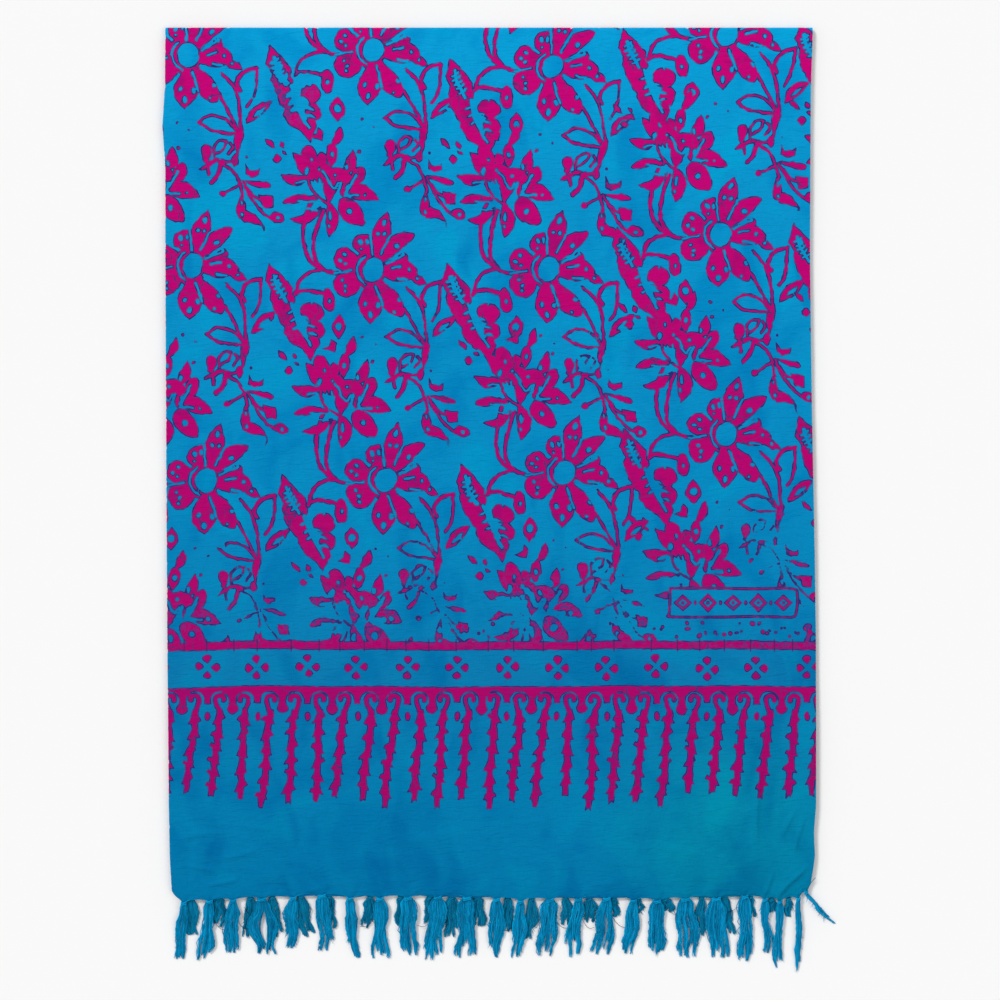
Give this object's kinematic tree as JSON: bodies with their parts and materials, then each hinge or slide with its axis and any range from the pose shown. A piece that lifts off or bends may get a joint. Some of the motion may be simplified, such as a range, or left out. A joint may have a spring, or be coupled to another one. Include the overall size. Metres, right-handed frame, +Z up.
{
  "type": "batik sarong",
  "caption": "Batik sarong of printed viscose, folded in four and laid flat, with knotted tassels along its hems: a wrap cloth as it is stored or shown.",
  "frame": {"origin": "on the flat underside, at the middle of the folded cloth's width and of its length with the fringe", "axes": "+X across the folded cloth, from the lengthwise fold to the selvages; +Y from the fringe to the top fold; +Z up, out of the front layer"},
  "size_m": [0.5975, 0.8372, 0.0054],
  "materials": {
    "printed_cloth": "matt viscose, turquoise with a magenta wax-batik print",
    "inner_cloth": "matt viscose, turquoise",
    "fringe_yarn": "knotted viscose yarn",
    "shaded_yarn": "knotted viscose yarn of the layers behind"
  },
  "bodies": {
    "root": {"outer_cloth": "printed_cloth", "hidden_layers": "inner_cloth", "tassel_front_01": "fringe_yarn", "tassel_front_02": "fringe_yarn", "tassel_front_03": "fringe_yarn", "tassel_front_04": "fringe_yarn", "tassel_front_05": "fringe_yarn", "tassel_front_06": "fringe_yarn", "tassel_front_07": "fringe_yarn", "tassel_front_08": "fringe_yarn", "tassel_front_09": "fringe_yarn", "tassel_front_10": "fringe_yarn", "tassel_front_11": "fringe_yarn", "tassel_front_12": "fringe_yarn", "tassel_front_13": "fringe_yarn", "tassel_front_14": "fringe_yarn", "tassel_front_15": "fringe_yarn", "tassel_front_16": "fringe_yarn", "tassel_front_17": "fringe_yarn", "tassel_front_18": "fringe_yarn", "tassel_front_19": "fringe_yarn", "tassel_front_20": "fringe_yarn", "tassel_front_21": "fringe_yarn", "tassel_front_22": "fringe_yarn", "tassel_front_23": "fringe_yarn", "tassel_front_24": "fringe_yarn", "tassel_front_25": "fringe_yarn", "tassel_back_01": "shaded_yarn", "tassel_back_02": "shaded_yarn", "tassel_back_03": "shaded_yarn", "tassel_back_04": "shaded_yarn", "tassel_back_05": "shaded_yarn", "tassel_back_06": "shaded_yarn", "tassel_back_07": "shaded_yarn", "tassel_back_08": "shaded_yarn", "tassel_back_09": "shaded_yarn", "tassel_back_10": "shaded_yarn", "tassel_back_11": "shaded_yarn", "tassel_back_12": "shaded_yarn", "tassel_back_13": "shaded_yarn", "tassel_back_14": "shaded_yarn", "tassel_back_15": "shaded_yarn", "tassel_back_16": "shaded_yarn", "tassel_back_17": "shaded_yarn", "tassel_back_18": "shaded_yarn", "tassel_back_19": "shaded_yarn", "tassel_back_20": "shaded_yarn", "tassel_back_21": "shaded_yarn", "tassel_back_22": "shaded_yarn", "tassel_back_23": "shaded_yarn"}
  },
  "joints": []
}
